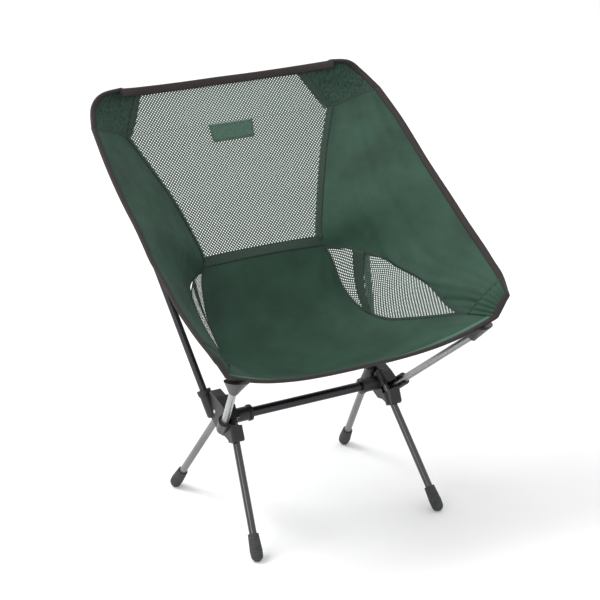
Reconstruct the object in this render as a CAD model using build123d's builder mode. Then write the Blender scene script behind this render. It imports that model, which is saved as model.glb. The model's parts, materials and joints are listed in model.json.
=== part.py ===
"""Ultralight backpacking chair: folding-pole frame with a four-pocket fabric bucket seat.

Row frame: origin on the floor under the centre of the chair, +Z up, the sitter faces -Y,
+X is the sitter's left. Millimetres. The left half is modelled and mirrored in X.
"""
from build123d import *
import math
import os

os.makedirs("parts", exist_ok=True)

# ---------------------------------------------------------------- driving dimensions
TUBE_R = 6.0              # outer radius of legs and uprights
TUBE_WALL = 0.9
BAR_R = 8.0               # cross bar between the hubs
BAR_WALL = 1.1
HUB_Z = 183.0             # height of the cross bar and of the hub centres
BAR_Y = -55.5
COLLAR_X = 103.0          # inner end of a hub's bar collar
BAR_END_X = 121.0

RUNNING_GAP = 0.06        # radial clearance of a leg in its socket
END_GAP = 0.4             # leg top to the blind end of its socket
SOCKET_WALL = 3.6

FRONT_LEG = Vector(142.8, -68.9, HUB_Z)          # a point on each pole axis at hub height
FRONT_LEG_DOWN = Vector(0.1453, -0.723, -1.0).normalized()
REAR_LEG = Vector(136.8, -24.2, HUB_Z)
REAR_LEG_DOWN = Vector(0.1646, 0.695, -1.0).normalized()
FRONT_UPRIGHT = Vector(160.4, -75.0, HUB_Z)
FRONT_UPRIGHT_UP = Vector(0.4286, -1.1087, 1.0).normalized()
REAR_UPRIGHT = Vector(155.0, -21.0, HUB_Z)
REAR_UPRIGHT_UP = Vector(0.1777, 0.492, 1.0).normalized()

FOOT_R = 9.6              # rounded end of a rubber foot
FOOT_RIM_R = 8.6
FOOT_FLAT = 0.5           # height worn off the dome where it meets the floor
FOOT_TOP_Z = 36.5
CORD_R = 1.4
PLUG_LENGTH = 14.0

FABRIC = 1.2              # thickness of a fabric panel
TAPE = 2.6                # thickness of a tape or binding lying over the panels
BINDING_WIDTH = 10.0
TAPE_WIDTH = 13.0

# Seam curves of the left half, each from the back or top of the chair to the front.
MESH_EDGE = [(189, 193, 589), (158, 161, 531), (137, 134, 487), (120, 111, 441), (108, 90, 397)]
LOW_SEAM = [(108, 90, 397), (121, 74, 366), (128, 45, 320), (136, 1, 296), (151, -51, 292),
            (171, -99, 305), (192, -146, 321), (212, -192, 337), (240, -241, 343)]
OUTER_EDGE = [(265, 156, 622), (271, 100, 585), (273, 54, 553), (273, 21, 531), (273, -12, 511),
              (274, -42, 492), (275, -68, 475), (274, -96, 459), (274, -122, 444),
              (274, -152, 427), (272, -180, 412), (269, -210, 397), (260, -241, 376)]
SEAT_CENTRE = [(0, 84, 389), (0, 66, 345), (0, 36, 298), (0, -12, 266), (0, -70, 253),
               (0, -128, 262), (0, -182, 283), (0, -228, 304)]
TOP_EDGE = [(0, 242, 653), (75, 241, 653), (150, 230, 657), (197, 196, 668)]
CORNER_EDGE = [(197, 196, 668), (230, 198, 663), (250, 190, 646), (265, 156, 622)]


# ---------------------------------------------------------------- small helpers
def along(points, share):
    """Point at `share` (0 to 1) of a smooth curve through evenly weighted points."""
    spans = len(points) - 1
    place = min(max(share, 0.0), 1.0) * spans
    index = min(int(place), spans - 1)
    t = place - index
    p0, p1, p2, p3 = (Vector(*points[min(max(index + k, 0), spans)]) for k in (-1, 0, 1, 2))
    return (p1 * 2 + (p2 - p0) * t + (p0 * 2 - p1 * 5 + p2 * 4 - p3) * t**2
            + (p1 * 3 - p0 - p2 * 3 + p3) * t**3) * 0.5


def blend(a, b, share):
    return a * (1 - share) + b * share


def steps(count):
    return [k / (count - 1) for k in range(count)]


def save(part, name):
    part.label = name
    export_step(part, f"parts/{name}.step")


def save_pair(part, stem):
    """Write the left piece and its mirror image, the right piece."""
    save(part, f"{stem}_left")
    save(mirror(part, about=Plane.YZ), f"{stem}_right")


def lengthwise_plane(origin, direction):
    """Plane whose Y runs along `direction`, for profiles turned about that axis."""
    across = direction.cross(Vector(0, 0, 1)).normalized()
    return Plane(origin=origin, x_dir=across, z_dir=across.cross(direction))


def turned(origin, direction, outline):
    """Solid of revolution about a pole axis, from (radius, height) points."""
    with BuildPart() as shape:
        with BuildSketch(lengthwise_plane(origin, direction)):
            with BuildLine():
                Polyline(*outline, close=True)
            make_face()
        revolve(axis=Axis(origin, direction))
    return shape.part


def tube(start, end, radius, wall):
    direction = (end - start).normalized()
    length = (end - start).length
    return turned(start, direction, [(radius - wall, 0), (radius, 0), (radius, length),
                                     (radius - wall, length)])


def rod(start, end, radius):
    direction = (end - start).normalized()
    return turned(start, direction, [(0, 0), (radius, 0), (radius, (end - start).length),
                                     (0, (end - start).length)])


def at_height(point, direction, z):
    """Point of a pole axis at height z."""
    return point + direction * ((z - point.Z) / direction.Z)


def sheet(grid, thickness):
    """Thin solid whose mid surface runs through a grid of points."""
    face = Face.make_surface_from_array_of_points(grid, tol=0.05)
    with BuildPart() as panel:
        thicken(face, amount=thickness / 2, both=True)
    return panel.part


# ---------------------------------------------------------------- poles
front_leg_top = at_height(FRONT_LEG, FRONT_LEG_DOWN, 201.0)
rear_leg_top = at_height(REAR_LEG, REAR_LEG_DOWN, 205.0)
front_upright_low = at_height(FRONT_UPRIGHT, FRONT_UPRIGHT_UP, 174.0)
front_upright_top = at_height(FRONT_UPRIGHT, FRONT_UPRIGHT_UP, 319.0)
rear_upright_low = at_height(REAR_UPRIGHT, REAR_UPRIGHT_UP, 180.0)
rear_upright_joint = at_height(REAR_UPRIGHT, REAR_UPRIGHT_UP, 402.0)
rear_upright_top = at_height(REAR_UPRIGHT, REAR_UPRIGHT_UP, 631.0)
TIP_LENGTH = 6.0
SPIGOT_LENGTH = 60.0

with BuildPart() as cross_bar:
    with BuildSketch(Plane.YZ.offset(-BAR_END_X)):
        with Locations((BAR_Y, HUB_Z)):
            Circle(BAR_R)
            Circle(BAR_R - BAR_WALL, mode=Mode.SUBTRACT)
    extrude(amount=2 * BAR_END_X)
save(cross_bar.part, "cross_bar")

save_pair(tube(front_upright_low, front_upright_top, TUBE_R, TUBE_WALL), "front_upright")
save_pair(tube(rear_upright_low, rear_upright_joint, TUBE_R, TUBE_WALL), "rear_upright_lower")
save_pair(tube(rear_upright_joint, rear_upright_top, TUBE_R, TUBE_WALL), "rear_upright_upper")
save_pair(rod(rear_upright_joint - REAR_UPRIGHT_UP * SPIGOT_LENGTH / 2,
              rear_upright_joint + REAR_UPRIGHT_UP * SPIGOT_LENGTH / 2,
              TUBE_R - TUBE_WALL), "rear_spigot")


def pole_tip(end, direction):
    """Rounded plastic plug that closes a pole's upper end."""
    inner = TUBE_R - TUBE_WALL
    return turned(end, direction, [(0, -TIP_LENGTH * 2), (inner, -TIP_LENGTH * 2), (inner, 0),
                                   (TUBE_R, 0), (TUBE_R, TIP_LENGTH * 0.4),
                                   (TUBE_R * 0.75, TIP_LENGTH * 0.85), (TUBE_R * 0.35, TIP_LENGTH),
                                   (0, TIP_LENGTH)])


save_pair(pole_tip(front_upright_top, FRONT_UPRIGHT_UP), "front_pole_tip")
save_pair(pole_tip(rear_upright_top, REAR_UPRIGHT_UP), "rear_pole_tip")


def make_leg(stem, top, down):
    """Leg tube with its top plug, its rubber foot and the shock cord that runs inside."""
    dome_centre = at_height(top, down, FOOT_R - FOOT_FLAT)
    rim = (at_height(top, down, FOOT_TOP_Z) - dome_centre).length
    tube_end = 4.0
    inner = TUBE_R - TUBE_WALL
    leg_end = dome_centre - down * tube_end
    save_pair(tube(top, leg_end, TUBE_R, TUBE_WALL), f"{stem}_leg")

    plug = turned(top, down, [(CORD_R + 0.6, 0), (inner, 0), (inner, PLUG_LENGTH),
                              (CORD_R + 0.6, PLUG_LENGTH)])
    save_pair(plug, f"{stem}_leg_plug")

    with BuildPart() as foot:
        with BuildSketch(lengthwise_plane(dome_centre, down * -1)):
            with BuildLine():
                RadiusArc((0, -FOOT_R), (FOOT_R, 0), -FOOT_R)
                Polyline((FOOT_R, 0), (FOOT_R + 0.5, 7), (FOOT_RIM_R, rim - 1), (FOOT_RIM_R - 0.8, rim),
                         (TUBE_R, rim), (TUBE_R, tube_end), (0, tube_end), (0, -FOOT_R))
            make_face()
        revolve(axis=Axis(dome_centre, down))
        split(bisect_by=Plane.XY, keep=Keep.TOP)
    save_pair(foot.part, f"{stem}_foot")

    cord_end = dome_centre - down * 30.0
    save_pair(rod(top - down * END_GAP, cord_end, CORD_R), f"{stem}_shock_cord")


make_leg("front", front_leg_top, FRONT_LEG_DOWN)
make_leg("rear", rear_leg_top, REAR_LEG_DOWN)

# ---------------------------------------------------------------- moulded hubs
SOCKET_R = TUBE_R + SOCKET_WALL
MOUTH_R = TUBE_R + 6.0
FRONT_MOUTH_Z = 156.0
REAR_MOUTH_Z = 164.0
CRADLE_R = 10.6
CRADLE_LOW_Z = 165.0
PLATE_X = 137.0           # inner and outer faces of the hub's body plate
PLATE_OUTER_X = 158.0
BODY_OUTLINE = [(-2, 208), (-18, 218), (-38, 214), (-66, 206), (-86, 196), (-101, 160), (-90, 154),
                (-70, 158), (-56, 155), (-40, 162), (-18, 176)]
BAR_SOCKET_R = 11.6
BAR_FLANGE_R = 13.4
BAR_FLANGE = 4.5

front_mouth = at_height(FRONT_LEG, FRONT_LEG_DOWN, FRONT_MOUTH_Z)
rear_mouth = at_height(REAR_LEG, REAR_LEG_DOWN, REAR_MOUTH_Z)
cradle_low = at_height(FRONT_UPRIGHT, FRONT_UPRIGHT_UP, CRADLE_LOW_Z)


def socket(top, mouth, flare):
    """Closed-top socket round a leg, widening over its last stretch to the mouth."""
    down = (mouth - top).normalized()
    depth = (mouth - top).length
    cap = 4.0
    return turned(top, down, [(0, -cap), (SOCKET_R - 2, -cap), (SOCKET_R, -cap + 2),
                              (SOCKET_R, depth * 0.45), (flare, depth - 3), (flare, depth), (0, depth)])


def leg_bore(top, down, mouth):
    return rod(top - down * END_GAP, mouth + down * 20.0, TUBE_R + RUNNING_GAP)


with BuildPart() as hub:
    with BuildSketch(Plane.YZ.offset(PLATE_X)):
        with BuildLine():
            Polyline(*BODY_OUTLINE, close=True)
        make_face()
    extrude(amount=PLATE_OUTER_X - PLATE_X)
    fillet(hub.edges().filter_by(Axis.X), radius=5.0)
    chamfer(hub.faces().sort_by(Axis.X)[-1].edges(), length=2.4)
    with BuildSketch(Plane.YZ.offset(COLLAR_X)):
        with Locations((BAR_Y, HUB_Z)):
            Circle(BAR_SOCKET_R)
    extrude(amount=PLATE_X - COLLAR_X + 6)
    with BuildSketch(Plane.YZ.offset(COLLAR_X)):
        with Locations((BAR_Y, HUB_Z)):
            Circle(BAR_FLANGE_R)
    extrude(amount=BAR_FLANGE)
    add(socket(front_leg_top, front_mouth, MOUTH_R))
    add(socket(rear_leg_top, rear_mouth, MOUTH_R - 1))
    add(turned(rear_upright_low - REAR_UPRIGHT_UP * 6, REAR_UPRIGHT_UP,
               [(0, 0), (SOCKET_R - 2, 0), (SOCKET_R, 3), (SOCKET_R, 34), (SOCKET_R + 2, 40),
                (SOCKET_R + 2, 46), (0, 46)]))
    add(turned(cradle_low, FRONT_UPRIGHT_UP,
               [(0, -4), (CRADLE_R * 0.55, -3), (CRADLE_R, 3), (CRADLE_R, 50), (0, 50)]))
    # bores for the bar, the legs and the rear upright
    with BuildSketch(Plane.YZ.offset(COLLAR_X)):
        with Locations((BAR_Y, HUB_Z)):
            Circle(BAR_R)
    extrude(amount=BAR_END_X - COLLAR_X, mode=Mode.SUBTRACT)
    add(leg_bore(front_leg_top, FRONT_LEG_DOWN, front_mouth), mode=Mode.SUBTRACT)
    add(leg_bore(rear_leg_top, REAR_LEG_DOWN, rear_mouth), mode=Mode.SUBTRACT)
    add(rod(rear_upright_low, rear_upright_low + REAR_UPRIGHT_UP * 60, TUBE_R), mode=Mode.SUBTRACT)
    add(rod(front_upright_low, front_upright_low + FRONT_UPRIGHT_UP * 90, TUBE_R), mode=Mode.SUBTRACT)
    # the front upright's seat is a trough, open on the outer side of the hub
    with BuildSketch(Plane(origin=front_upright_low, x_dir=FRONT_UPRIGHT_UP,
                           z_dir=Vector(1, 0.25, 0).cross(FRONT_UPRIGHT_UP))) as trough:
        Rectangle(120, 30, align=(Align.MIN, Align.MIN))
    extrude(amount=TUBE_R, both=True, mode=Mode.SUBTRACT)
save_pair(hub.part, "hub")

RIVET_R = 3.2
rivet_base = Vector(PLATE_OUTER_X, -38.0, 190.0)
save_pair(turned(rivet_base, Vector(1, 0, 0),
                 [(0, 0), (RIVET_R, 0), (RIVET_R * 0.9, 1.0), (RIVET_R * 0.5, 1.7), (0, 1.9)]),
          "hub_rivet")


# ---------------------------------------------------------------- fabric seat
INNER = MESH_EDGE + LOW_SEAM[1:]          # a side panel's inner seam, top to front
WINDOW_BACK = 4.5 / (len(INNER) - 1)      # the side window starts just below the mesh corner
WINDOW_FRONT = 11.0 / (len(INNER) - 1)
WINDOW_RISE = [0.0, 0.21, 0.36, 0.41, 0.43, 0.40, 0.30, 0.15, 0.0]
SIDE_BELLY = -9.0                         # a side panel is drawn inward between its edges
SEAT_START = 0.055                        # share of the low seam above the seat panel
MESH_TOP = Vector(151, 238, 645)          # top corner of the back mesh
MESH_KNEE = 0.8                           # share of the mesh height where its corners are cut


def side_point(share, rise, lift=0.0):
    """Point of the side panel: share runs back to front, rise from the seam to the edge."""
    low, high = along(INNER, share), along(OUTER_EDGE, share)
    bow = SIDE_BELLY * math.sin(math.pi * rise) * math.sin(math.pi * share) ** 0.5
    return blend(low, high, rise) + Vector(0.55, 0.25, -0.8) * (bow - lift)


def window_rise(share):
    """Upper edge of the side window, as a share of the side panel's width."""
    place = (share - WINDOW_BACK) / (WINDOW_FRONT - WINDOW_BACK)
    return along([(r, 0, 0) for r in WINDOW_RISE], place).X if 0 < place < 1 else 0.0


def seat_point(share, side, lift=0.0):
    """Point of the seat panel: share runs back to front, side from -1 to 1 across."""
    centre = along(SEAT_CENTRE, share)
    seam = along(LOW_SEAM, blend(SEAT_START, 1.0, share))
    across = abs(side) ** (2.2 + 0.8 * share)
    return Vector(seam.X * side, centre.Y + (seam.Y - centre.Y) * across,
                  centre.Z + (seam.Z - centre.Z) * across + lift)


def back_point(rise, side, lift=0.0):
    """Point of the back mesh: rise from its bottom seam to its top, side across."""
    if rise < MESH_KNEE:
        edge = along(list(reversed(MESH_EDGE)), rise / MESH_KNEE)
    else:
        edge = blend(Vector(*MESH_EDGE[0]), MESH_TOP, (rise - MESH_KNEE) / (1 - MESH_KNEE))
    return Vector(edge.X * side, edge.Y + 5.0 * (1 - side * side) - 0.85 * lift, edge.Z + 0.5 * lift)


def corner_point(rise, out, lift=0.0):
    """Point of the rear corner patch: rise up the cut mesh corner, out to the edge."""
    low = blend(Vector(*MESH_EDGE[0]), Vector(150, 233, 655), rise)
    high = along(list(reversed(CORNER_EDGE)), rise)
    return blend(low, high, out) + Vector(-0.35, -0.8, 0.45) * lift


save(sheet([[seat_point(s, u * 2 - 1) for u in steps(13)] for s in steps(15)], FABRIC), "seat_panel")
save(sheet([[back_point(s, u * 2 - 1) for u in steps(9)] for s in steps(11)], FABRIC), "back_mesh")

save_pair(sheet([[side_point(s, blend(window_rise(s), 1.0, r)) for r in steps(7)] for s in steps(33)],
                FABRIC), "side_panel")
window_shares = [blend(WINDOW_BACK + 0.012, WINDOW_FRONT - 0.02, t) for t in steps(17)]
save_pair(sheet([[side_point(s, window_rise(s) * r) for r in steps(4)] for s in window_shares],
                FABRIC), "side_mesh")
save_pair(sheet([[corner_point(r, c) for c in steps(7)] for r in steps(9)], FABRIC), "corner_patch")

STRAP_LOW = 0.617                         # the strap crosses the window from here on its low seam
STRAP_HIGH = 0.448                        # to here on its upper edge
STRAP_HALF = 0.015
strap_shares = [blend(STRAP_LOW, STRAP_HIGH, r) for r in steps(6)]
save_pair(sheet([[side_point(s + shift, window_rise(STRAP_HIGH + shift) * r, lift=1.4)
                  for s, r in zip(strap_shares, steps(6))]
                 for shift in (-STRAP_HALF, 0.0, STRAP_HALF)], FABRIC), "side_strap")
PATCH_START = 0.925
save_pair(sheet([[side_point(blend(PATCH_START, 1.0, t), r, lift=1.4) for r in steps(5)]
                 for t in steps(5)], FABRIC), "front_corner")


# ---------------------------------------------------------------- tapes, bindings, label
def side_width(share):
    return (along(OUTER_EDGE, share) - along(INNER, share)).length


MESH_SHARE = (len(MESH_EDGE) - 1) / (len(INNER) - 1)
tape_rows = []
for step in steps(11):
    share = step * MESH_SHARE
    edge_x = along(INNER, share).X
    tape_rows.append([back_point((1 - step) * 0.8, 1 - 5.0 / edge_x, lift=1.5),
                      side_point(share, 0.0, lift=1.5),
                      side_point(share, 8.0 / side_width(share), lift=1.5)])
save_pair(sheet(tape_rows, TAPE / 2), "seam_tape")
save(sheet([[blend(seat_point(0.0, u * 2 - 1, lift=-2), back_point(0.02, u * 2 - 1), r)
             + Vector(0, -1.5, 0) for r in steps(3)] for u in steps(9)], TAPE / 2), "seam_tape_bottom")

save_pair(sheet([[side_point(s, 1.0 - BINDING_WIDTH / side_width(s) * c) for c in steps(3)]
                 for s in steps(25)], TAPE), "edge_binding")
corner_rows = [[corner_point(r, 1.0 - 0.14 * c) for c in steps(3)] for r in steps(9)]
save_pair(sheet(corner_rows, TAPE), "corner_binding")


def top_point(side, drop):
    edge = along(TOP_EDGE, abs(side))
    return Vector(math.copysign(edge.X, side), edge.Y, edge.Z - drop)


save(sheet([[top_point(u * 2 - 1, BINDING_WIDTH * c) for c in steps(3)] for u in steps(17)], TAPE),
     "edge_binding_top")
CORNER_SHARES = (1.0, 0.66, 0.33)         # the front binding turns up round both front corners
left_rows = [[side_point(1.0 - 0.025 * c, r) for c in steps(3)] for r in CORNER_SHARES]
right_rows = [[Vector(-p.X, p.Y, p.Z) for p in row] for row in reversed(left_rows)]
front_rows = [[seat_point(1.0 - 0.04 * c, 1 - u * 2) for c in steps(3)] for u in steps(17)]
save(sheet(left_rows + front_rows + right_rows, TAPE), "edge_binding_front")

LABEL_RISE = (0.708, 0.786)
LABEL_SIDE = (-0.22, 0.20)
save(sheet([[back_point(blend(*LABEL_RISE, r), blend(*LABEL_SIDE, u), lift=1.6) for u in steps(5)]
            for r in steps(3)], FABRIC), "label_patch")

# ---------------------------------------------------------------- pole pockets
CUP_R = TUBE_R + 3.0
CUP_LOW_Z = 306.0
CUP_TOP_Z = 330.0
cup_low = at_height(FRONT_UPRIGHT, FRONT_UPRIGHT_UP, CUP_LOW_Z)
cup_top = at_height(FRONT_UPRIGHT, FRONT_UPRIGHT_UP, CUP_TOP_Z)
with BuildPart() as front_pocket:
    with BuildSketch(Plane(origin=cup_low, z_dir=FRONT_UPRIGHT_UP)):
        Circle(CUP_R)
    with BuildSketch(Plane(origin=cup_top + Vector(-4, 4, 0), x_dir=(0.8, 0.6, 0), z_dir=(0, 0, 1))):
        Ellipse(20.0, 13.0)
    loft()
    add(rod(front_upright_low, front_upright_top + FRONT_UPRIGHT_UP * (TIP_LENGTH + 0.3), TUBE_R),
        mode=Mode.SUBTRACT)
save_pair(front_pocket.part, "front_pocket")

POCKET_LENGTH = 44.0
save_pair(turned(rear_upright_top + REAR_UPRIGHT_UP * (TIP_LENGTH + 0.3), REAR_UPRIGHT_UP * -1,
                 [(0, -FABRIC), (TUBE_R, -FABRIC), (TUBE_R + FABRIC, 0), (TUBE_R + FABRIC, POCKET_LENGTH),
                  (TUBE_R, POCKET_LENGTH), (TUBE_R, 0), (0, 0)]), "rear_pocket")
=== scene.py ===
"""Ultralight backpacking chair: the visual model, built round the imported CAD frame.

Metres, in the CAD frame: +Z up, the sitter faces -Y, +X is the sitter's left. The fabric is
rebuilt panel by panel on the same seam curves as the CAD sheets, as real net, folded bindings,
tapes and stitches; the poles, hubs, feet and caps keep their CAD shapes.
"""
import json
import math

import bpy
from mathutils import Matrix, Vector


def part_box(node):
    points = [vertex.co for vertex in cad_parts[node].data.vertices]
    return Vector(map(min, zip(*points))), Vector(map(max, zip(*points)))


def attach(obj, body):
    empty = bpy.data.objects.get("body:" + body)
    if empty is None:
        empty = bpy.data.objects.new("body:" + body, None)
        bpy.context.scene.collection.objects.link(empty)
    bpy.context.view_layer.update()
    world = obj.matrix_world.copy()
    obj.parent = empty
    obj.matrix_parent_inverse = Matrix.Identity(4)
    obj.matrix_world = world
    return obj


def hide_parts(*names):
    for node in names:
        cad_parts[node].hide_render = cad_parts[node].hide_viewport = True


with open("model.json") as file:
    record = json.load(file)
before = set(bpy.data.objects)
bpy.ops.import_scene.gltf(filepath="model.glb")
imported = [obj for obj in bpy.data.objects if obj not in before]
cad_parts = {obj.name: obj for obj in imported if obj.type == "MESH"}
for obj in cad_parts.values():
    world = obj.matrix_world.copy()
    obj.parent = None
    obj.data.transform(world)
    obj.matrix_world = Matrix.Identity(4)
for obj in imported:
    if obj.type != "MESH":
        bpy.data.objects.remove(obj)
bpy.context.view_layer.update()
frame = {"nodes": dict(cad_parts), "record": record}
BODY = "chair"
MM = 0.001

# ---------------------------------------------------------------- seam curves, millimetres
# Left half of the seat, from the back or top of the chair to the front.
MESH_EDGE = [(189, 193, 589), (158, 161, 531), (137, 134, 487), (120, 111, 441), (108, 90, 397)]
LOW_SEAM = [(108, 90, 397), (121, 74, 366), (128, 45, 320), (136, 1, 296), (151, -51, 292),
            (171, -99, 305), (192, -146, 321), (212, -192, 337), (240, -241, 343)]
OUTER_EDGE = [(265, 156, 622), (271, 100, 585), (273, 54, 553), (273, 21, 531), (273, -12, 511),
              (274, -42, 492), (275, -68, 475), (274, -96, 459), (274, -122, 444),
              (274, -152, 427), (272, -180, 412), (269, -210, 397), (260, -241, 376)]
SEAT_CENTRE = [(0, 84, 389), (0, 66, 345), (0, 36, 298), (0, -12, 266), (0, -70, 253),
               (0, -128, 262), (0, -182, 283), (0, -228, 304)]
TOP_EDGE = [(0, 242, 653), (75, 241, 653), (150, 230, 657), (197, 196, 668)]
CORNER_EDGE = [(197, 196, 668), (230, 198, 663), (250, 190, 646), (265, 156, 622)]
MESH_TOP = Vector((151, 238, 645))
MESH_KNEE = 0.8
INNER = MESH_EDGE + LOW_SEAM[1:]
SPANS = len(INNER) - 1
WINDOW_BACK, WINDOW_FRONT = 4.5 / SPANS, 11.0 / SPANS
WINDOW_RISE = [0.0, 0.21, 0.36, 0.41, 0.43, 0.40, 0.30, 0.15, 0.0]
SIDE_BELLY = -9.0
SEAT_START = 0.055


def curve_at(points, share):
    """Point at `share` (0 to 1) of a smooth curve through evenly weighted points."""
    spans = len(points) - 1
    place = min(max(share, 0.0), 1.0) * spans
    index = min(int(place), spans - 1)
    t = place - index
    p0, p1, p2, p3 = (Vector(points[min(max(index + k, 0), spans)]) for k in (-1, 0, 1, 2))
    return (p1 * 2 + (p2 - p0) * t + (p0 * 2 - p1 * 5 + p2 * 4 - p3) * t**2
            + (p1 * 3 - p0 - p2 * 3 + p3) * t**3) * 0.5


def steps(count):
    return [k / (count - 1) for k in range(count)]


def mix(a, b, share):
    return a * (1 - share) + b * share


def side_base(share, rise):
    low, high = curve_at(INNER, share), curve_at(OUTER_EDGE, share)
    bow = SIDE_BELLY * math.sin(math.pi * rise) * math.sin(math.pi * share) ** 0.5
    return low.lerp(high, rise) + Vector((0.55, 0.25, -0.8)) * bow


def window_rise(share):
    place = (share - WINDOW_BACK) / (WINDOW_FRONT - WINDOW_BACK)
    return curve_at([(r, 0, 0) for r in WINDOW_RISE], place).x if 0 < place < 1 else 0.0


def seat_base(share, side):
    centre = curve_at(SEAT_CENTRE, share)
    seam = curve_at(LOW_SEAM, mix(SEAT_START, 1.0, share))
    across = abs(side) ** (2.2 + 0.8 * share)
    return Vector((seam.x * side, mix(centre.y, seam.y, across), mix(centre.z, seam.z, across)))


def back_base(rise, side):
    if rise < MESH_KNEE:
        edge = curve_at(list(reversed(MESH_EDGE)), rise / MESH_KNEE)
    else:
        edge = Vector(MESH_EDGE[0]).lerp(MESH_TOP, (rise - MESH_KNEE) / (1 - MESH_KNEE))
    return Vector((edge.x * side, edge.y + 5.0 * (1 - side * side), edge.z))


def corner_base(rise, out):
    low = Vector(MESH_EDGE[0]).lerp(Vector((150, 233, 655)), rise)
    return low.lerp(curve_at(list(reversed(CORNER_EDGE)), rise), out)


def facing(surface, a, b):
    """Unit normal of a surface, turned towards the sitter's side."""
    step = 0.004
    da = surface(min(a + step, 1.0), b) - surface(max(a - step, 0.0), b)
    db = surface(a, b + step) - surface(a, b - step)
    normal = da.cross(db)
    if normal.length == 0:
        return Vector((0, 0, 1))
    normal.normalize()
    towards = Vector((0, -60, 620)) - surface(a, b)
    return normal if normal.dot(towards) > 0 else -normal


# ---------------------------------------------------------------- creases in the cloth
def ridge(value, centre, width):
    """Soft fold: 1 on its line, falling to 0 at its sides."""
    return math.exp(-((value - centre) / width) ** 2)


def side_crease(share, rise, phase):
    """Height of the long folds that run from the rear corner to the front one, in mm."""
    calm = math.sin(math.pi * min(max(share, 0), 1)) ** 0.35 * math.sin(math.pi * rise) ** 0.6
    wander = 0.05 * math.sin(5.1 * share + phase) + 0.03 * math.sin(11.0 * share + 2 * phase)
    folds = 0.0
    for line, width, height in ((0.20, 0.050, -3.6), (0.42, 0.045, 3.2), (0.62, 0.042, -3.0),
                                (0.84, 0.055, 4.0)):
        strength = 0.6 + 0.4 * math.sin(7.0 * share + 9.0 * line + phase)
        folds += height * strength * ridge(rise + wander, line, width)
    gather = ridge(share, 1.0, 0.09) * 1.5 * math.sin(rise * 40 + phase)
    gather += ridge(share, 0.0, 0.06) * 0.4 * math.sin(rise * 20 + phase)
    return folds * calm + gather * math.sin(math.pi * rise) ** 0.5


def seat_crease(share, side, phase):
    """Height of the seat's folds: fans from the front corners and a soft sag, in mm."""
    edge_calm = (1 - side * side) ** 0.5 * math.sin(math.pi * share) ** 0.4
    fan = 0.0
    for corner, end, height in ((-1, 1, 1.6), (1, 1, 1.6), (-1, 0, 2.0), (1, 0, 2.0)):
        dx, dy = side - corner, share - end
        angle, reach = math.atan2(dy, dx * 0.8), math.hypot(dx, dy)
        fan += height * math.sin(angle * 10 + phase) * math.exp(-reach * 1.9) * min(1.0, reach * 5)
    sway = 0.7 * math.sin(9 * share + 3 * side + phase) * math.sin(4 * side + phase)
    return (fan + sway) * edge_calm


# ---------------------------------------------------------------- mesh makers
def piece(name, verts, faces, material, replaced=(), smooth=True):
    """Mesh object from points in millimetres; rides on the chair."""
    mesh = bpy.data.meshes.new(name)
    mesh.from_pydata([tuple(v * MM) for v in verts], [], faces)
    mesh.update()
    if smooth:
        mesh.polygons.foreach_set("use_smooth", [True] * len(mesh.polygons))
    obj = bpy.data.objects.new(name, mesh)
    bpy.context.scene.collection.objects.link(obj)
    mesh.materials.append(material)
    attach(obj, BODY)
    if replaced:
        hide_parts(*replaced)
    return obj


def grid_faces(rows, columns, closed=False):
    faces = []
    for i in range(rows - 1):
        for j in range(columns if closed else columns - 1):
            k = (j + 1) % columns
            faces.append((i * columns + j, i * columns + k, (i + 1) * columns + k, (i + 1) * columns + j))
    return faces


def thicken(obj, thickness):
    solid = obj.modifiers.new("thickness", "SOLIDIFY")
    solid.thickness = thickness * MM
    solid.offset = 0.0


def cloth(name, point, rows, columns, material, replaced, thickness=0.8):
    """Panel of cloth: a fine grid of point(row share, column share), given its thickness."""
    verts = [point(a, b) for a in steps(rows) for b in steps(columns)]
    obj = piece(name, verts, grid_faces(rows, columns), material, replaced)
    thicken(obj, thickness)
    return obj


def mirrored(point, side):
    """point() of the left half, or its mirror image when side is -1."""
    def there(*where):
        p = point(*where)
        return Vector((p.x * side, p.y, p.z))
    return there


def ribbon(name, centres, acrosses, normals, half_width, half_thick, material, replaced=()):
    """Tape with a rounded flat section, swept along a seam."""
    section = 12
    verts = []
    for centre, across, normal in zip(centres, acrosses, normals):
        for k in range(section):
            turn = 2 * math.pi * k / section
            c, s = math.cos(turn), math.sin(turn)
            wide = math.copysign(abs(c) ** 0.55, c) * half_width
            thick = math.copysign(abs(s) ** 0.8, s) * half_thick
            verts.append(centre + across * wide + normal * thick)
    faces = grid_faces(len(centres), section, closed=True)
    faces.append(tuple(range(section - 1, -1, -1)))
    last = (len(centres) - 1) * section
    faces.append(tuple(range(last, last + section)))
    return piece(name, verts, faces, material, replaced)


def stitches(name, paths, material, pitch=3.2, length=2.2, radius=0.28):
    """Row of short threads along each path of (point, normal) pairs."""
    verts, faces = [], []
    for path in paths:
        run = 0.0
        for (a, na), (b, _) in zip(path, path[1:]):
            span = (b - a).length
            while span > 0 and run < span:
                centre = a.lerp(b, run / span)
                along = (b - a).normalized()
                across = along.cross(na).normalized()
                base = len(verts)
                for end in (-0.5, -0.25, 0.25, 0.5):
                    size = radius if abs(end) < 0.3 else radius * 0.35
                    sink = 0.0 if abs(end) < 0.3 else -radius * 0.9
                    for side, up in ((1, 0), (0, 1), (-1, 0), (0, -1)):
                        verts.append(centre + along * (end * length) + across * (side * size)
                                     + na * (up * size + sink + radius * 0.6))
                for ring in range(3):
                    for k in range(4):
                        n = (k + 1) % 4
                        faces.append((base + ring * 4 + k, base + ring * 4 + n,
                                      base + ring * 4 + 4 + n, base + ring * 4 + 4 + k))
                faces.append((base + 3, base + 2, base + 1, base))
                faces.append((base + 12, base + 13, base + 14, base + 15))
                run += pitch
            run -= span
    return piece(name, verts, faces, material)


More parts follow.
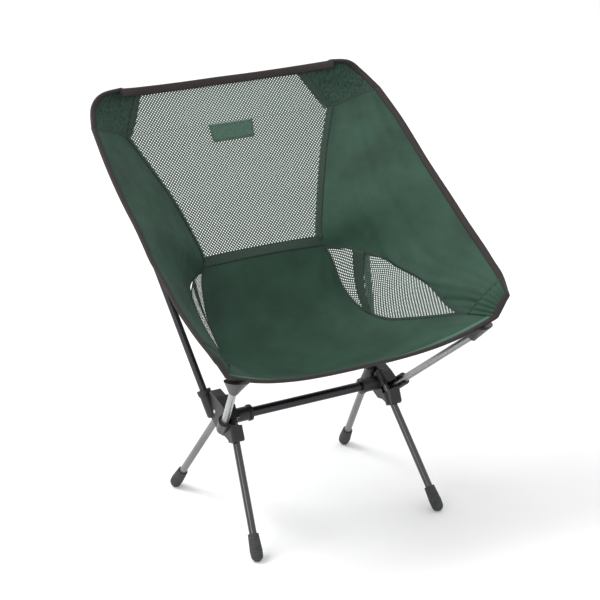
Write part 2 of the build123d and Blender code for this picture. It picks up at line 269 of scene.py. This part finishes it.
def net(name, place, cells, pitch, hole, material, replaced):
    """Knitted net: diamond cells on a turned grid, each with an eight-sided hole."""
    verts, faces, seen = [], [], {}

    def vertex(x, y):
        key = (round(x * 50), round(y * 50))
        if key not in seen:
            seen[key] = len(verts)
            verts.append(place(x, y))
        return seen[key]

    half = pitch / 2
    rim = [(half, 0), (half, half), (0, half), (-half, half), (-half, 0), (-half, -half), (0, -half),
           (half, -half)]
    slant = math.sqrt(0.5)
    for cx, cy in cells:
        outer, inner = [], []
        for dx, dy in rim:
            a, b = (dx - dy) * slant, (dx + dy) * slant
            outer.append(vertex(cx + a, cy + b))
            reach = hole / max(math.hypot(dx, dy), 1e-6)
            inner.append(vertex(cx + a * reach, cy + b * reach))
        for k in range(8):
            n = (k + 1) % 8
            faces.append((outer[k], outer[n], inner[n], inner[k]))
    return piece(name, verts, faces, material, replaced, smooth=False)


def diamond_cells(pitch, inside, x_range, y_range):
    """Centres of a 45 degree grid of cells that lie inside a flat outline."""
    slant = math.sqrt(0.5) * pitch
    cells = []
    for row in range(int(y_range[0] / slant) - 1, int(y_range[1] / slant) + 2):
        for column in range(int(x_range[0] / slant) - 1, int(x_range[1] / slant) + 2):
            if (row + column) % 2 == 0 and inside(column * slant, row * slant):
                cells.append((column * slant, row * slant))
    return cells


# ---------------------------------------------------------------- materials
def new_material(name, color, roughness, metallic=0.0):
    material = bpy.data.materials.new(name)
    material.use_nodes = True
    shader = material.node_tree.nodes["Principled BSDF"]
    shader.inputs["Base Color"].default_value = (*color, 1)
    shader.inputs["Roughness"].default_value = roughness
    shader.inputs["Metallic"].default_value = metallic
    return material, material.node_tree, shader


def object_coordinates(tree, scale=(1, 1, 1)):
    coordinates = tree.nodes.new("ShaderNodeTexCoord")
    mapping = tree.nodes.new("ShaderNodeMapping")
    mapping.inputs["Scale"].default_value = scale
    tree.links.new(coordinates.outputs["Object"], mapping.inputs["Vector"])
    return mapping.outputs["Vector"]


def noise(tree, scale, detail=3.0, stretch=(1, 1, 1), rough=0.55):
    node = tree.nodes.new("ShaderNodeTexNoise")
    node.inputs["Scale"].default_value = scale
    node.inputs["Detail"].default_value = detail
    node.inputs["Roughness"].default_value = rough
    tree.links.new(object_coordinates(tree, stretch), node.inputs["Vector"])
    return node.outputs["Fac"]


def wave(tree, scale, stretch=(1, 1, 1), direction="X", distortion=0.0):
    node = tree.nodes.new("ShaderNodeTexWave")
    node.bands_direction = direction
    node.inputs["Scale"].default_value = scale
    node.inputs["Distortion"].default_value = distortion
    tree.links.new(object_coordinates(tree, stretch), node.inputs["Vector"])
    return node.outputs["Fac"]


def ramp_color(tree, shader, fac, dark, light, low=0.3, high=0.7):
    ramp = tree.nodes.new("ShaderNodeValToRGB")
    ramp.color_ramp.elements[0].position = low
    ramp.color_ramp.elements[1].position = high
    ramp.color_ramp.elements[0].color = (*dark, 1)
    ramp.color_ramp.elements[1].color = (*light, 1)
    tree.links.new(fac, ramp.inputs["Fac"])
    tree.links.new(ramp.outputs["Color"], shader.inputs["Base Color"])


def ramp_roughness(tree, shader, fac, low, high):
    spread = tree.nodes.new("ShaderNodeMapRange")
    spread.inputs["To Min"].default_value = low
    spread.inputs["To Max"].default_value = high
    tree.links.new(fac, spread.inputs["Value"])
    tree.links.new(spread.outputs["Result"], shader.inputs["Roughness"])


def bump(tree, shader, height, strength, distance, before=None):
    node = tree.nodes.new("ShaderNodeBump")
    node.inputs["Strength"].default_value = strength
    node.inputs["Distance"].default_value = distance
    tree.links.new(height, node.inputs["Height"])
    if before is not None:
        tree.links.new(before, node.inputs["Normal"])
    tree.links.new(node.outputs["Normal"], shader.inputs["Normal"])
    return node.outputs["Normal"]


def multiply(tree, a, b):
    node = tree.nodes.new("ShaderNodeMath")
    node.operation = "MULTIPLY"
    tree.links.new(a, node.inputs[0])
    tree.links.new(b, node.inputs[1])
    return node.outputs["Value"]


def woven(name, color, spread=0.25, thread=1100.0, roughness=0.62, heather=0.0):
    """Plain weave: crossed threads, soft blotches of tone and faint long rumples."""
    material, tree, shader = new_material(name, color, roughness)
    tone = noise(tree, 14.0, 5.0) if heather == 0 else noise(tree, 420.0, 2.0, (1, 1, 0.3))
    dark = tuple(c * (1 - spread - heather) for c in color)
    light = tuple(c * (1 + spread + heather) for c in color)
    ramp_color(tree, shader, tone, dark, light)
    ramp_roughness(tree, shader, noise(tree, 60.0, 4.0), roughness - 0.1, roughness + 0.12)
    rumple = bump(tree, shader, noise(tree, 22.0, 4.0, (1.6, 0.5, 1.2)), 0.35, 0.004)
    weave = multiply(tree, wave(tree, thread, (1, 1, 0.35)), wave(tree, thread, (0.2, 1, 1), "Z"))
    bump(tree, shader, weave, 0.25, 0.0003, rumple)
    shader.inputs["Sheen Weight"].default_value = 0.03
    shader.inputs["Specular IOR Level"].default_value = 0.25
    shader.inputs["Sheen Roughness"].default_value = 0.4
    return material


def knitted(name, color):
    material, tree, shader = new_material(name, color, 0.7)
    ramp_color(tree, shader, noise(tree, 300.0, 2.0), tuple(c * 0.75 for c in color),
               tuple(c * 1.3 for c in color))
    bump(tree, shader, noise(tree, 1500.0, 2.0), 0.5, 0.0003)
    return material


def tape_cloth(name, color, ribs=900.0):
    """Narrow woven tape: fine cross ribs and a heathered tone."""
    material, tree, shader = new_material(name, color, 0.78)
    ramp_color(tree, shader, noise(tree, 700.0, 3.0), tuple(c * 0.6 for c in color),
               tuple(c * 1.6 for c in color))
    bump(tree, shader, wave(tree, ribs, (1, 1, 1), "DIAGONAL", 0.6), 0.4, 0.0004)
    return material


def anodised(name, color, roughness=0.22):
    """Anodised tube: fine drawn lines along it and small changes of gloss."""
    material, tree, shader = new_material(name, color, roughness, 0.92)
    ramp_color(tree, shader, noise(tree, 9.0, 2.0), tuple(c * 0.88 for c in color),
               tuple(c * 1.12 for c in color))
    ramp_roughness(tree, shader, noise(tree, 120.0, 4.0, (1, 1, 0.1)), roughness - 0.05, roughness + 0.08)
    bump(tree, shader, noise(tree, 900.0, 2.0, (1, 1, 0.04)), 0.06, 0.0002)
    return material


def moulded(name, color, roughness=0.42, grain=900.0):
    """Moulded plastic with a fine spark-eroded grain."""
    material, tree, shader = new_material(name, color, roughness)
    ramp_color(tree, shader, noise(tree, 30.0, 3.0), tuple(c * 0.8 for c in color),
               tuple(c * 1.25 for c in color))
    ramp_roughness(tree, shader, noise(tree, 90.0, 3.0), roughness - 0.07, roughness + 0.08)
    bump(tree, shader, noise(tree, grain, 3.0), 0.18, 0.0003)
    return material


def rubber(name, color):
    """Foot rubber: turned ribs round the foot and a matte, dusty surface."""
    material, tree, shader = new_material(name, color, 0.75)
    ramp_color(tree, shader, noise(tree, 160.0, 4.0), tuple(c * 0.75 for c in color),
               tuple(c * 1.45 for c in color))
    ribs = bump(tree, shader, wave(tree, 95.0, (1, 1, 1), "Z"), 0.55, 0.0012)
    bump(tree, shader, noise(tree, 1100.0, 3.0), 0.3, 0.0003, ribs)
    return material


GREEN = (0.020, 0.055, 0.036)
SEAT_CLOTH = woven("seat_cloth", GREEN)
# Lighter green than the seat cloth: painted light for the band along the seat's front edge, which faces
# up towards the lamps.
PAINTED_LIGHT_BAND_CLOTH = woven("painted_light_band_cloth", (0.055, 0.125, 0.088), spread=0.15)
CORNER_CLOTH = woven("corner_cloth", (0.018, 0.046, 0.032), heather=0.35)
NET_CLOTH = knitted("net_cloth", (0.038, 0.078, 0.056))
TAPE_CLOTH = tape_cloth("tape_cloth", (0.016, 0.034, 0.025))
BINDING_CLOTH = tape_cloth("binding_cloth", (0.017, 0.012, 0.011), 700.0)
THREAD = tape_cloth("thread", (0.030, 0.055, 0.042), 2400.0)
LABEL_CLOTH = tape_cloth("label_cloth", (0.050, 0.105, 0.076), 1300.0)
CAD_MATERIALS = {
    "bar_black": anodised("bar_black", (0.045, 0.045, 0.050), 0.25),
    "front_leg_tube": anodised("front_leg_tube", (0.075, 0.075, 0.080), 0.16),
    "rear_leg_tube": anodised("rear_leg_tube", (0.22, 0.22, 0.225), 0.28),
    "front_upright_tube": anodised("front_upright_tube", (0.34, 0.34, 0.345), 0.26),
    "rear_upright_tube": anodised("rear_upright_tube", (0.050, 0.050, 0.055), 0.26),
    "hub_plastic": moulded("hub_plastic", (0.007, 0.007, 0.008)),
    "cap_plastic": moulded("cap_plastic", (0.020, 0.020, 0.022), 0.5),
    "pocket_plastic": moulded("pocket_plastic", (0.010, 0.010, 0.011), 0.38),
    "rivet_steel": anodised("rivet_steel", (0.6, 0.6, 0.6), 0.3),
    "foot_rubber": rubber("foot_rubber", (0.030, 0.031, 0.033)),
    "cord": tape_cloth("cord_sheath", (0.05, 0.05, 0.05), 1500.0),
}
slots = {entry["node"]: entry["material_slot"] for entry in frame["record"]["subparts"]}
for node, obj in frame["nodes"].items():
    if slots[node] in CAD_MATERIALS:
        for place in obj.material_slots:
            place.material = CAD_MATERIALS[slots[node]]

# ---------------------------------------------------------------- seat and side panels
seat = cloth("seat_cloth", lambda a, b: seat_base(a, b * 2 - 1)
             + facing(seat_base, a, b * 2 - 1) * seat_crease(a, b * 2 - 1, 0.7),
             96, 120, SEAT_CLOTH, ["seat_panel"])


def painted_light_band_point(a, b):
    """Painted light: a lighter green band of cloth on the seat's front edge, standing in for light on the
    upturned cloth there; widest in the middle of the chair.
    """
    side = b * 2 - 1
    width = 0.105 * (1 - 0.55 * side * side)
    share = 1.0 - width * a
    return (seat_base(share, side) + facing(seat_base, share, side)
            * (0.9 + seat_crease(share, side, 0.7)))


# Painted light: a lighter sheet laid on the seat along its front edge.
painted_light_band = cloth("front_painted_light_band", painted_light_band_point, 12, 120, PAINTED_LIGHT_BAND_CLOTH, [], 0.7)
side_pieces, corner_pieces, front_corner_pieces, strap_pieces = {}, {}, {}, {}
for side_name, side in (("left", 1), ("right", -1)):
    phase = 0.4 if side == 1 else 2.3

    def side_cloth_point(share, r, phase=phase):
        rise = mix(window_rise(share), 1.0, r)
        return side_base(share, rise) + facing(side_base, share, rise) * side_crease(share, rise, phase)

    side_pieces[side_name] = cloth(f"side_cloth_{side_name}", mirrored(side_cloth_point, side), 150, 60,
                                   SEAT_CLOTH, [f"side_panel_{side_name}"])

    def corner_cloth_point(rise, out, phase=phase):
        fold = 1.1 * math.sin(6 * out + 9 * rise + phase) * math.sin(math.pi * out)
        return corner_base(rise, out) + facing(corner_base, rise, out) * fold

    corner_pieces[side_name] = cloth(f"corner_cloth_{side_name}", mirrored(corner_cloth_point, side),
                                     40, 40, CORNER_CLOTH, [f"corner_patch_{side_name}"])

    def front_corner_point(t, r, phase=phase):
        share = mix(0.925, 1.0, t)
        gather = 1.0 * math.sin(r * 46 + phase) * math.sin(math.pi * t) ** 0.5
        return side_base(share, r) + facing(side_base, share, r) * (1.6 + gather)

    front_corner_pieces[side_name] = cloth(f"front_corner_{side_name}_patch",
                                           mirrored(front_corner_point, side), 24, 50, SEAT_CLOTH,
                                           [f"front_corner_{side_name}"])

    def strap_point(a, b):
        shift = mix(-0.014, 0.014, b)
        rise = window_rise(0.448 + shift) * a
        share = mix(0.617, 0.448, a) + shift
        return side_base(share, rise) + facing(side_base, share, rise) * 1.2

    strap_pieces[side_name] = cloth(f"window_strap_{side_name}", mirrored(strap_point, side), 24, 8,
                                    TAPE_CLOTH, [f"side_strap_{side_name}"], 1.0)

# ---------------------------------------------------------------- nets
NET_PITCH = 3.9
NET_HOLE = 1.05
BACK_ROWS = 60
back_lengths = [0.0]
for a, b in zip(steps(BACK_ROWS), steps(BACK_ROWS)[1:]):
    back_lengths.append(back_lengths[-1] + (back_base(b, 0) - back_base(a, 0)).length)


def back_rise(length):
    """Share of the mesh height at a distance up from its bottom seam."""
    for k in range(BACK_ROWS - 1):
        if length <= back_lengths[k + 1]:
            part = (length - back_lengths[k]) / (back_lengths[k + 1] - back_lengths[k])
            return (k + part) / (BACK_ROWS - 1)
    return 1.0


def back_net_place(x, y):
    rise = back_rise(y)
    half = back_base(rise, 1).x
    side = x / half
    ripple = 0.8 * math.sin(x * 0.05 + 1) * math.sin(y * 0.035)
    return back_base(rise, side) + Vector((0, -0.85, 0.5)) * ripple


def inside_back(x, y):
    return 0 < y < back_lengths[-1] and abs(x) < back_base(back_rise(y), 1).x - 1.0


back_cells = diamond_cells(NET_PITCH, inside_back, (-200, 200), (0, back_lengths[-1]))
back_net = net("back_net", back_net_place, back_cells, NET_PITCH, NET_HOLE, NET_CLOTH, ["back_mesh"])

WINDOW_LENGTH = sum((curve_at(INNER, mix(WINDOW_BACK, WINDOW_FRONT, b))
                     - curve_at(INNER, mix(WINDOW_BACK, WINDOW_FRONT, a))).length
                    for a, b in zip(steps(50), steps(50)[1:]))


def window_share(x):
    return mix(WINDOW_BACK, WINDOW_FRONT, min(max(x / WINDOW_LENGTH, 0), 1))


def window_width(share):
    return (curve_at(OUTER_EDGE, share) - curve_at(INNER, share)).length


def window_place(x, y):
    share = window_share(x)
    return side_base(share, y / window_width(share))


def inside_window(x, y):
    share = window_share(x)
    return 0 < x < WINDOW_LENGTH and -2.0 < y < window_rise(share) * window_width(share) + 2.0


window_cells = diamond_cells(NET_PITCH, inside_window, (0, WINDOW_LENGTH), (0, 110))
for side_name, side in (("left", 1), ("right", -1)):
    net(f"window_net_{side_name}", mirrored(window_place, side), window_cells,
                                 NET_PITCH, NET_HOLE, NET_CLOTH, [f"side_mesh_{side_name}"])


# ---------------------------------------------------------------- tapes and bindings
def strip(name, surface, path, across_step, half_width, half_thick, lift, material, side=1,
          replaced=(), shift=0.0):
    """Tape along path, a list of surface coordinates; across_step points across the tape."""
    centres, acrosses, normals = [], [], []
    for a, b in path:
        here = surface(a, b)
        across = (surface(a + across_step[0], b + across_step[1]) - here).normalized()
        normal = facing(surface, a, b)
        across = (across - normal * across.dot(normal)).normalized()
        spots = [here + across * shift + normal * lift, across, normal]
        centre, across, normal = [Vector((p.x * side, p.y, p.z)) for p in spots]
        centres.append(centre)
        acrosses.append(across)
        normals.append(normal)
    obj = ribbon(name, centres, acrosses, normals, half_width, half_thick, material, replaced)
    return obj, list(zip(centres, acrosses, normals))


thread_paths = []


def sew(rail, *offsets):
    """Adds rows of stitches at distances across a tape, on its upper face."""
    for across_by, up in offsets:
        thread_paths.append([(c + x * across_by + n * up, n) for c, x, n in rail])


MESH_SHARE = (len(MESH_EDGE) - 1) / SPANS
BINDING_HALF = 5.6
BINDING_THICK = 2.8                       # half thickness of the folded edge binding
for side_name, side in (("left", 1), ("right", -1)):
    obj, rail = strip(f"mesh_side_tape_{side_name}", side_base,
                      [(t * MESH_SHARE * 1.02, 0.0) for t in steps(40)], (0, 0.02), 6.6, 0.9, 1.2,
                      TAPE_CLOTH, side, [f"seam_tape_{side_name}"], shift=1.0)
    sew(rail, (-5.2, 0.9), (5.2, 0.9))
    obj, rail = strip(f"low_seam_tape_{side_name}", side_base,
                      [(mix(MESH_SHARE, 0.985, t), 0.0) for t in steps(70)], (0, 0.02), 3.4, 0.7, 0.9,
                      TAPE_CLOTH, side)
    sew(rail, (-2.4, 0.7), (2.4, 0.7))
    obj, rail = strip(f"window_top_tape_{side_name}", side_base,
                      [(s, window_rise(s)) for s in
                       [mix(WINDOW_BACK + 0.004, WINDOW_FRONT - 0.01, t) for t in steps(60)]],
                      (0, 0.02), 2.6, 0.7, 0.9, TAPE_CLOTH, side)
    sew(rail, (0.0, 0.7))
    obj, rail = strip(f"edge_binding_{side_name}_cloth", side_base, [(t, 0.999) for t in steps(90)],
                      (0, -0.02), BINDING_HALF, BINDING_THICK, 0.0, BINDING_CLOTH, side,
                      [f"edge_binding_{side_name}"], shift=4.2)
    sew(rail, (3.4, 1.4))
    obj, rail = strip(f"corner_binding_{side_name}_cloth", corner_base, [(t, 0.999) for t in steps(36)],
                      (0, -0.02), BINDING_HALF, BINDING_THICK, 0.0, BINDING_CLOTH, side,
                      [f"corner_binding_{side_name}"], shift=4.2)
    sew(rail, (3.4, 1.4))
    obj, rail = strip(f"corner_side_seam_{side_name}", corner_base, [(0.0, t) for t in steps(24)],
                      (0.02, 0), 3.4, 0.7, 0.8, TAPE_CLOTH, side)
    sew(rail, (0.0, 0.7))
    obj, rail = strip(f"corner_mesh_seam_{side_name}", corner_base, [(t, 0.0) for t in steps(24)],
                      (0, 0.02), 7.0, 0.8, 1.0, TAPE_CLOTH, side, shift=-3.0)
    sew(rail, (-5.6, 0.8), (5.6, 0.8))
    obj, rail = strip(f"front_corner_seam_{side_name}", side_base,
                      [(0.925, t) for t in steps(24)], (0.01, 0), 1.3, 0.5, 2.2, SEAT_CLOTH,
                      side)
    sew(rail, (0.0, 0.6))


def bottom_seam(share, side):
    """Line where the seat cloth meets the back net."""
    return seat_base(0.0, side).lerp(back_base(0.0, side), 0.6 + share)


obj, rail = strip("mesh_bottom_tape", bottom_seam, [(0.0, t * 2 - 1) for t in steps(60)], (0.5, 0),
                  9.6, 0.9, 1.4, TAPE_CLOTH, replaced=["seam_tape_bottom"])
sew(rail, (-8.0, 0.9), (8.0, 0.9))


def top_surface(share, along):
    """Hem of the mesh's top, from its upper edge down; along runs -1 to 1."""
    edge = curve_at(TOP_EDGE, abs(along))
    return Vector((math.copysign(edge.x, along), edge.y, edge.z)) + Vector((0, -3, -8)) * share


obj, rail = strip("top_binding_cloth", top_surface, [(0.0, t * 2 - 1) for t in steps(90)], (0.3, 0),
                  7.0, BINDING_THICK, 0.0, BINDING_CLOTH, replaced=["edge_binding_top"],
                  shift=5.8)
sew(rail, (5.0, 1.4))


def front_surface(share, along):
    """Front edge of the cloth, turned up round both corners; along runs -1.2 to 1.2."""
    reach = abs(along)
    if reach <= 1.0:
        return seat_base(1.0 - share, along)
    p = side_base(1.0 - share, min((reach - 1.0) / 0.2, 1.0))
    return Vector((math.copysign(p.x, along), p.y, p.z))


front_path = [(0.0, mix(-1.2, 1.2, t)) for t in steps(160)]
obj, rail = strip("front_binding_cloth", front_surface, front_path, (0.02, 0), BINDING_HALF,
                  BINDING_THICK, 0.0, BINDING_CLOTH, replaced=["edge_binding_front"],
                  shift=4.0)
sew(rail, (3.4, 1.4))
# Row of stitches along the inner edge of the painted light band.
painted_light_band_rail = [(painted_light_band_point(0.97, b), facing(seat_base, 0.93, b * 2 - 1)) for b in steps(120)]
thread_paths.append([(p + n * 0.5, n) for p, n in painted_light_band_rail])

# ---------------------------------------------------------------- plain label patch
LABEL_RISE, LABEL_SIDE = (0.696, 0.786), (-0.225, 0.21)


def label_point(a, b):
    rise, side = mix(*LABEL_RISE, a), mix(*LABEL_SIDE, b)
    return back_base(rise, side) + Vector((0, -0.85, 0.5)) * 1.6


label = cloth("label_patch_cloth", label_point, 12, 30, LABEL_CLOTH, ["label_patch"], 0.9)
rim = ([(0.1, t) for t in steps(30)] + [(t, 0.97) for t in steps(10)][1:]
       + [(0.9, 1 - t) for t in steps(30)] + [(1 - t, 0.03) for t in steps(10)][1:])
thread_paths.append([(label_point(a, b) + Vector((0, -0.85, 0.5)) * 0.6, Vector((0, -0.86, 0.5)))
                     for a, b in rim])
thread = stitches("seam_stitches", thread_paths, THREAD)

# ---------------------------------------------------------------- rear pole pockets
for side_name in ("left", "right"):
    node = f"rear_pocket_{side_name}"
    low, high = (Vector(c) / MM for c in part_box(node))
    sign = 1 if side_name == "left" else -1
    axis = Vector((0.1777 * sign, 0.492, 1.0)).normalized()
    centre = (low + high) / 2
    across = axis.cross(Vector((0, 1, 0))).normalized()
    outward = axis.cross(across)
    rings, around, length = 16, 28, 50.0
    verts = []
    for i in range(rings):
        t = i / (rings - 1)
        closing = math.sqrt(max(0.0, 1 - max(0.0, (t - 0.8) / 0.2) ** 2.2)) * 0.92 + 0.08
        wide, deep = (10.5 + 1.2 * (1 - t)) * closing, 8.4 * closing
        for k in range(around):
            turn = 2 * math.pi * k / around
            pucker = 1 + 0.03 * math.sin(turn * 7 + t * 5)
            verts.append(centre + axis * ((t - 0.5) * length) + across * (math.cos(turn) * wide * pucker)
                         + outward * (math.sin(turn) * deep * pucker))
    faces = grid_faces(rings, around, closed=True)
    top = (rings - 1) * around
    faces.append(tuple(range(top, top + around)))
    pocket = piece(f"pole_pocket_{side_name}", verts, faces, CORNER_CLOTH, [node])
    thicken(pocket, 0.9)

# ---------------------------------------------------------------- cut sizes of the cloth panels, computed and not used
def run_length(line, count=60):
    """Length of the curve line(share), share from 0 to 1."""
    points = [line(t) for t in steps(count)]
    return sum((q - p).length for p, q in zip(points, points[1:]))


def cut(surface):
    """Flat size and area of a panel's cut, in metres, measured along its plain seam surface.

    surface takes two shares, 0 to 1. Folds, thickness and net holes play no part, and the shown
    mesh isn't read.
    """
    across = [run_length(lambda t, a=a: surface(a, t)) for a in steps(61)]
    lines = [run_length(lambda t, b=b: surface(t, b)) for b in steps(5)]
    area = 0.0
    for a, b in zip(steps(61), steps(61)[1:]):
        for c, d in zip(steps(41), steps(41)[1:]):
            corner, far = surface(a, c), surface(b, d)
            area += (far - corner).cross(surface(b, c) - surface(a, d)).length / 2
    return (max(across) * MM, max(lines) * MM), area * MM * MM


def declare(surface):
    flat, area = cut(surface)


declare(lambda a, b: seat_base(a, b * 2 - 1))
declare(lambda a, b: back_base(a, b * 2 - 1))
for side_name in ("left", "right"):
    declare(lambda a, b: side_base(a, mix(window_rise(a), 1.0, b)))
    declare(lambda a, b: side_base(mix(WINDOW_BACK, WINDOW_FRONT, a),
                                   b * window_rise(mix(WINDOW_BACK, WINDOW_FRONT, a))))

# ---------------------------------------------------------------- floor, light and camera
floor_mesh = bpy.data.meshes.new("floor")
FLOOR_HALF = 30.0
floor_mesh.from_pydata([(-FLOOR_HALF, -FLOOR_HALF, 0), (FLOOR_HALF, -FLOOR_HALF, 0),
                        (FLOOR_HALF, FLOOR_HALF, 0), (-FLOOR_HALF, FLOOR_HALF, 0)], [], [(0, 1, 2, 3)])
floor = bpy.data.objects.new("floor", floor_mesh)
bpy.context.scene.collection.objects.link(floor)
floor_material, floor_tree, floor_shader = new_material("floor_paper", (0.92, 0.92, 0.92), 0.9)
ramp_color(floor_tree, floor_shader, noise(floor_tree, 3.0), (0.915, 0.915, 0.915), (0.93, 0.93, 0.93))
floor_mesh.materials.append(floor_material)

world = bpy.data.worlds.new("studio")
world.use_nodes = True
world.node_tree.nodes["Background"].inputs["Color"].default_value = (1, 1, 1, 1)
world.node_tree.nodes["Background"].inputs["Strength"].default_value = 1.0
bpy.context.scene.world = world
bpy.context.scene.view_settings.view_transform = "Standard"


def area_light(name, place, aim, size, power):
    data = bpy.data.lights.new(name, "AREA")
    data.shape = "SQUARE"
    data.size = size
    data.energy = power
    lamp = bpy.data.objects.new(name, data)
    lamp.location = place
    lamp.rotation_euler = (Vector(aim) - Vector(place)).to_track_quat("-Z", "Y").to_euler()
    bpy.context.scene.collection.objects.link(lamp)


area_light("key", (-1.6, 1.3, 3.0), (0, 0, 0.25), 1.6, 70)
area_light("fill", (-2.6, -1.6, 1.6), (0, 0, 0.3), 1.4, 18)

# Camera: aimed at a point near the middle of the CAD box.
AZIMUTH, ELEVATION = math.radians(-29.745), math.radians(21.07)
DISTANCE = 2.916
AIM = Vector((0.0243, 0.0075, 0.3297))
sight = Vector((-math.sin(AZIMUTH) * math.cos(ELEVATION), math.cos(AZIMUTH) * math.cos(ELEVATION),
                -math.sin(ELEVATION)))
camera_data = bpy.data.cameras.new("camera")
camera_data.lens = 107.36
camera_data.sensor_width = 36.0
camera = bpy.data.objects.new("camera", camera_data)
camera.location = AIM - sight * DISTANCE
camera.rotation_euler = sight.to_track_quat("-Z", "Y").to_euler()
bpy.context.scene.collection.objects.link(camera)
bpy.context.scene.camera = camera
